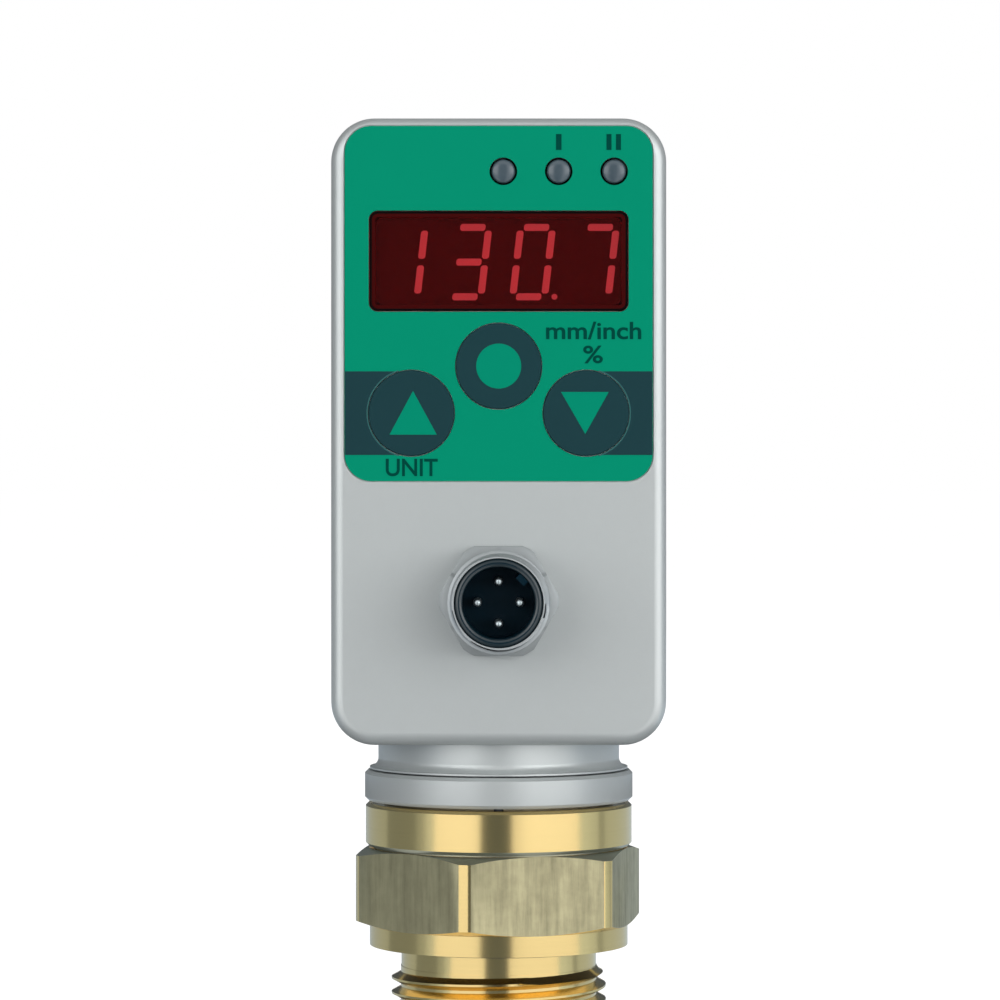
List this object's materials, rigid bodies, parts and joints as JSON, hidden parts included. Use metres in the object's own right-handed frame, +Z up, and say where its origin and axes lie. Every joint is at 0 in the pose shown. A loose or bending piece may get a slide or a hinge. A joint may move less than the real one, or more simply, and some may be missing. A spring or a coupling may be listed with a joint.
{
  "type": "level controller",
  "caption": "Level controller head: die-cast housing with film keypad, red digital display and M12 plug, swivelling on a brass G3/4 screw-in fitting.",
  "frame": {"origin": "centre of the fitting's sealing face, under the hexagon, on the thread's axis", "axes": "+Z up the fitting's axis through the neck to the housing; the display and the plug connector face -Y; +X is to the right of someone reading the display"},
  "size_m": [0.04, 0.047, 0.1163],
  "materials": {
    "silver_paint": "satin silver paint on zinc die-casting",
    "brass": "turned brass, polished on the collar",
    "steel": "bright steel",
    "nickel": "nickel plated",
    "contact_plating": "bright plated",
    "green_film": "printed polyester film",
    "teal_key": "printed polyester film",
    "red_pane": "red tinted, clear",
    "lit_red": "lit red segment",
    "dark_red": "unlit segment",
    "smoky_plastic": "smoky clear plastic",
    "black_plastic": "moulded black",
    "white_plastic": "natural white",
    "board_laminate": "green solder mask",
    "lead_brown": "insulated lead",
    "seal_rubber": "black nitrile"
  },
  "bodies": {
    "fitting": {"process_connection": "brass", "face_seal": "seal_rubber", "lead_through": "black_plastic", "slide_washer": "white_plastic", "swivel_oring": "seal_rubber", "stop_pin": "steel", "retaining_ring": "steel"},
    "head": {"housing": "silver_paint", "swivel_ring": "silver_paint", "rear_cover": "silver_paint", "cover_gasket": "seal_rubber", "cover_screws": "steel", "keypad_film": "green_film", "display_window": "red_pane", "display_module": "black_plastic", "lit_segments": "lit_red", "dark_segments": "dark_red", "light_pipes": "smoky_plastic", "indicator_diodes": "white_plastic", "key_switches": "steel", "display_board": "board_laminate", "board_spacers": "brass", "main_board": "board_laminate", "board_screws": "steel", "board_header": "black_plastic", "board_parts": "black_plastic", "lead_socket": "white_plastic", "probe_lead": "black_plastic", "connector_sleeve": "nickel", "connector_insert": "black_plastic", "contact_pins": "contact_plating", "connector_seal": "seal_rubber", "connector_nut": "nickel", "connector_leads": "lead_brown"},
    "up_key": {"key_up": "teal_key", "plunger_up": "black_plastic"},
    "down_key": {"key_down": "teal_key", "plunger_down": "black_plastic"},
    "set_key": {"key_set": "teal_key", "plunger_set": "black_plastic"}
  },
  "joints": [
    {"name": "head_swivel", "type": "hinge", "parent": "fitting", "child": "head", "pos_m": [0, 0, 0.0178], "axis": [0, 0, 1], "range_deg": [-145, 145]},
    {"name": "up_key_press", "type": "slide", "parent": "head", "child": "up_key", "axis": [0, 1, 0], "range_m": [0, 0.0004], "stiffness_N_per_m": 1500, "springref_m": -0.0003},
    {"name": "down_key_press", "type": "slide", "parent": "head", "child": "down_key", "axis": [0, 1, 0], "range_m": [0, 0.0004], "stiffness_N_per_m": 1500, "springref_m": -0.0003},
    {"name": "set_key_press", "type": "slide", "parent": "head", "child": "set_key", "axis": [0, 1, 0], "range_m": [0, 0.0004], "stiffness_N_per_m": 1500, "springref_m": -0.0003}
  ]
}
